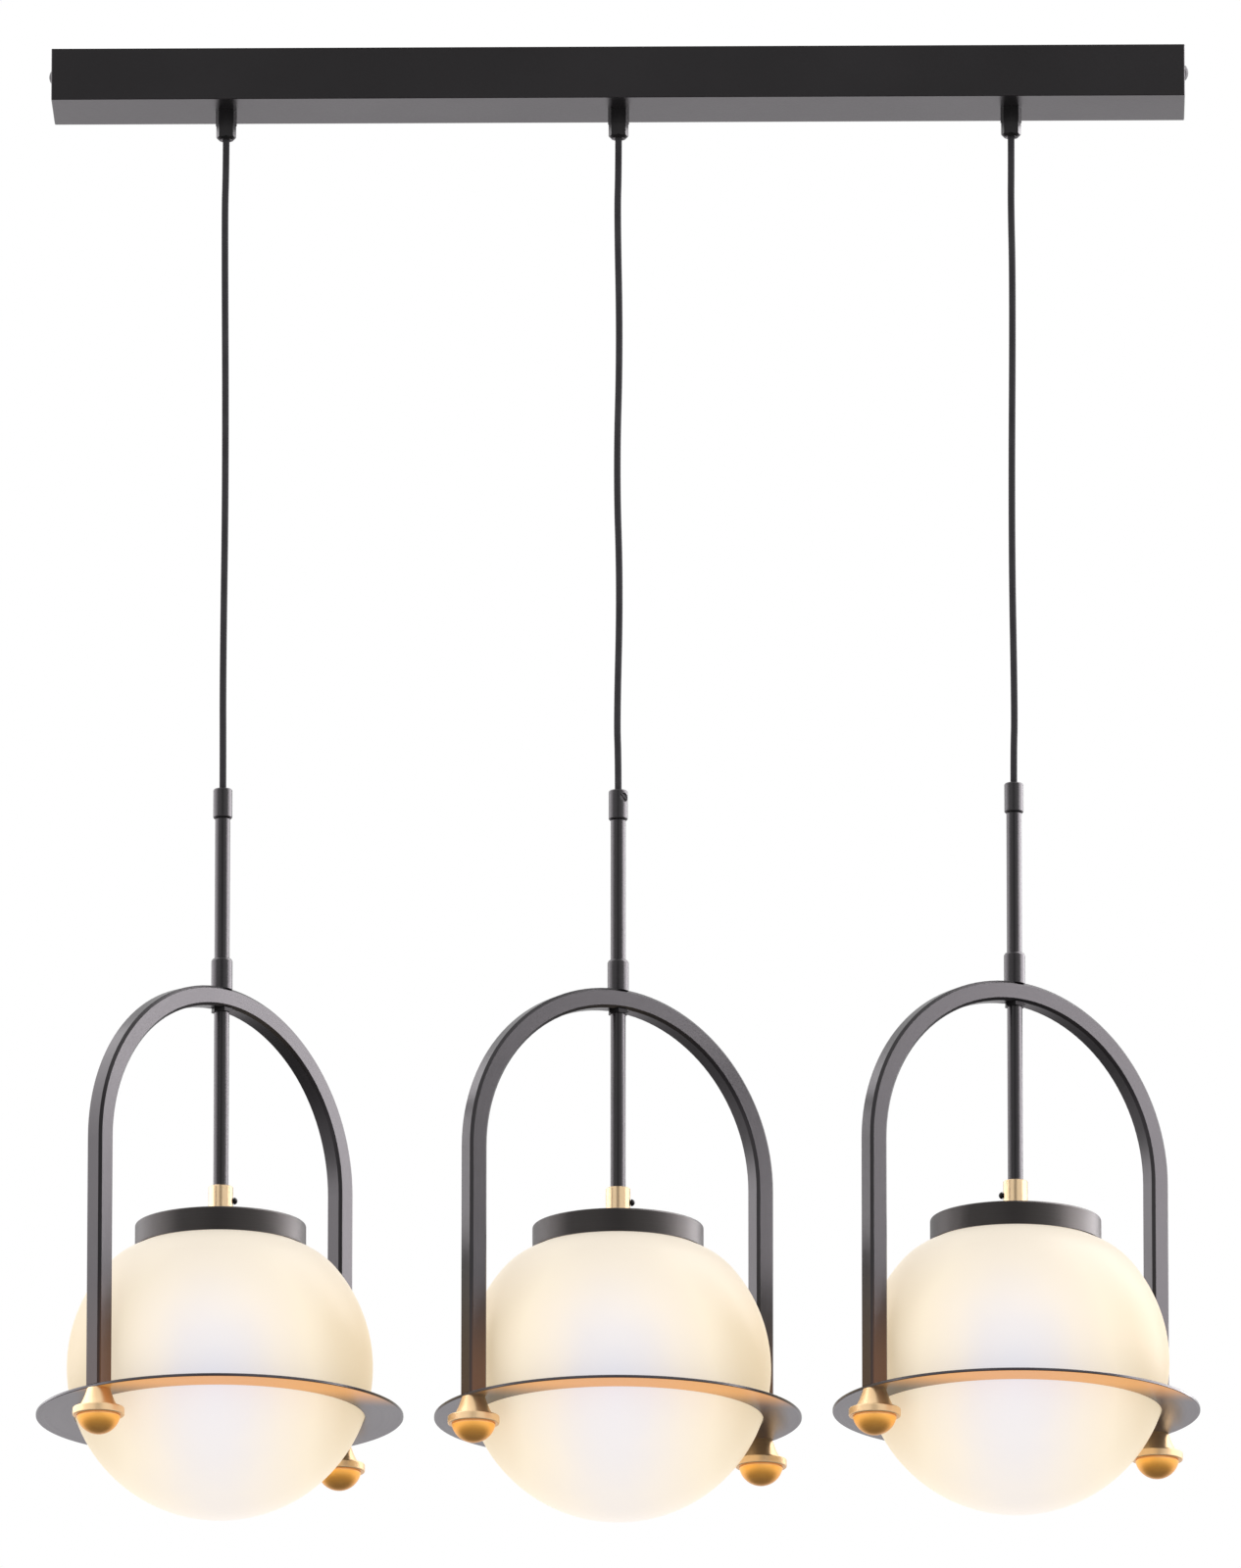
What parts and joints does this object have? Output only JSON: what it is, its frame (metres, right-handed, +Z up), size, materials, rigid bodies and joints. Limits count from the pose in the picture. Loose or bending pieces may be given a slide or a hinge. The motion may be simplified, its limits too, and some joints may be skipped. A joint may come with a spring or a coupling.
{
  "type": "linear island pendant light",
  "caption": "Straight ceiling bar with hanging cords; each carries an arch-framed glass globe resting on a flat ring, with turned finials and a lift-off cap.",
  "frame": {"origin": "middle of the bar's mounting plate, on the face that meets the ceiling", "axes": "+Z up, +X along the bar, the front of the bar faces -Y"},
  "size_m": [0.76, 0.24, 0.9916],
  "materials": {
    "bar_paint": "satin black paint",
    "lamp_paint": "black nickel, finely brushed and lacquered",
    "grip_black": "gloss black",
    "black_screw": "black oxide",
    "plated_steel": "zinc plated",
    "terminal_plastic": "moulded plastic",
    "black_cord": "round black cord sheath",
    "brass": "satin turned brass",
    "holder_plastic": "moulded plastic",
    "bulb_glass": "frosted glass",
    "opal_glass": "opal glass, smooth"
  },
  "bodies": {
    "ceiling_bar": {"ceiling_bracket": "plated_steel", "canopy_housing": "bar_paint", "canopy_side_screws": "black_screw", "terminal_block": "terminal_plastic", "grip_locknuts": "plated_steel", "cord_tails": "black_cord", "cord_grip_left": "grip_black", "cord_grip_middle": "grip_black", "cord_grip_right": "grip_black"},
    "hanging_cord_left": {"cord_left": "black_cord"},
    "grip_left": {"stem_grip_left": "grip_black", "stem_grip_screw_left": "black_screw"},
    "lamp_left": {"stem_left": "lamp_paint", "lead_left": "black_cord", "stem_coupling_left": "lamp_paint", "arch_left": "lamp_paint", "arch_locknut_left": "plated_steel", "ring_left": "lamp_paint", "finial_near_left": "brass", "finial_far_left": "brass", "socket_left": "holder_plastic", "bulb_left": "bulb_glass", "globe_left": "opal_glass"},
    "shade_cap_left": {"cap_left": "lamp_paint", "cap_collar_left": "brass"},
    "clamp_screw_left": {"thumb_screw_left": "black_screw"},
    "hanging_cord_middle": {"cord_middle": "black_cord"},
    "grip_middle": {"stem_grip_middle": "grip_black", "stem_grip_screw_middle": "black_screw"},
    "lamp_middle": {"stem_middle": "lamp_paint", "lead_middle": "black_cord", "stem_coupling_middle": "lamp_paint", "arch_middle": "lamp_paint", "arch_locknut_middle": "plated_steel", "ring_middle": "lamp_paint", "finial_near_middle": "brass", "finial_far_middle": "brass", "socket_middle": "holder_plastic", "bulb_middle": "bulb_glass", "globe_middle": "opal_glass"},
    "shade_cap_middle": {"cap_middle": "lamp_paint", "cap_collar_middle": "brass"},
    "clamp_screw_middle": {"thumb_screw_middle": "black_screw"},
    "hanging_cord_right": {"cord_right": "black_cord"},
    "grip_right": {"stem_grip_right": "grip_black", "stem_grip_screw_right": "black_screw"},
    "lamp_right": {"stem_right": "lamp_paint", "lead_right": "black_cord", "stem_coupling_right": "lamp_paint", "arch_right": "lamp_paint", "arch_locknut_right": "plated_steel", "ring_right": "lamp_paint", "finial_near_right": "brass", "finial_far_right": "brass", "socket_right": "holder_plastic", "bulb_right": "bulb_glass", "globe_right": "opal_glass"},
    "shade_cap_right": {"cap_right": "lamp_paint", "cap_collar_right": "brass"},
    "clamp_screw_right": {"thumb_screw_right": "black_screw"}
  },
  "joints": [
    {"name": "swing_left", "type": "hinge", "parent": "ceiling_bar", "child": "hanging_cord_left", "pos_m": [-0.26, 0, -0.0535], "axis": [1, 0, 0], "range_deg": [-20, 20]},
    {"name": "sway_left", "type": "hinge", "parent": "hanging_cord_left", "child": "grip_left", "pos_m": [-0.26, 0, -0.5008], "axis": [0, 1, 0], "range_deg": [-2.5, 20]},
    {"name": "swivel_left", "type": "hinge", "parent": "grip_left", "child": "lamp_left", "pos_m": [-0.26, 0, -0.5193], "axis": [0, 0, 1], "range_deg": [-90, 90]},
    {"name": "cap_lift_left", "type": "slide", "parent": "lamp_left", "child": "shade_cap_left", "axis": [0, 0, 1], "range_m": [0, 0.11]},
    {"name": "thumb_turn_left", "type": "hinge", "parent": "shade_cap_left", "child": "clamp_screw_left", "pos_m": [-0.252, 0, -0.77778], "axis": [1, 0, 0], "range_deg": [0, 360]},
    {"name": "swing_middle", "type": "hinge", "parent": "ceiling_bar", "child": "hanging_cord_middle", "pos_m": [0, 0, -0.0535], "axis": [1, 0, 0], "range_deg": [-20, 20]},
    {"name": "sway_middle", "type": "hinge", "parent": "hanging_cord_middle", "child": "grip_middle", "pos_m": [0, 0, -0.5028], "axis": [0, 1, 0], "range_deg": [-2.5, 2.5]},
    {"name": "swivel_middle", "type": "hinge", "parent": "grip_middle", "child": "lamp_middle", "pos_m": [0, 0, -0.5213], "axis": [0, 0, 1], "range_deg": [-90, 90]},
    {"name": "cap_lift_middle", "type": "slide", "parent": "lamp_middle", "child": "shade_cap_middle", "axis": [0, 0, 1], "range_m": [0, 0.11]},
    {"name": "thumb_turn_middle", "type": "hinge", "parent": "shade_cap_middle", "child": "clamp_screw_middle", "pos_m": [0.008, 0, -0.77978], "axis": [1, 0, 0], "range_deg": [0, 360]},
    {"name": "swing_right", "type": "hinge", "parent": "ceiling_bar", "child": "hanging_cord_right", "pos_m": [0.26, 0, -0.0535], "axis": [1, 0, 0], "range_deg": [-20, 20]},
    {"name": "sway_right", "type": "hinge", "parent": "hanging_cord_right", "child": "grip_right", "pos_m": [0.26, 0, -0.4988], "axis": [0, 1, 0], "range_deg": [-20, 2.5]},
    {"name": "swivel_right", "type": "hinge", "parent": "grip_right", "child": "lamp_right", "pos_m": [0.26, 0, -0.5173], "axis": [0, 0, 1], "range_deg": [-90, 90]},
    {"name": "cap_lift_right", "type": "slide", "parent": "lamp_right", "child": "shade_cap_right", "axis": [0, 0, 1], "range_m": [0, 0.11]},
    {"name": "thumb_turn_right", "type": "hinge", "parent": "shade_cap_right", "child": "clamp_screw_right", "pos_m": [0.252, 0, -0.77578], "axis": [-1, 0, 0], "range_deg": [0, 360]}
  ]
}
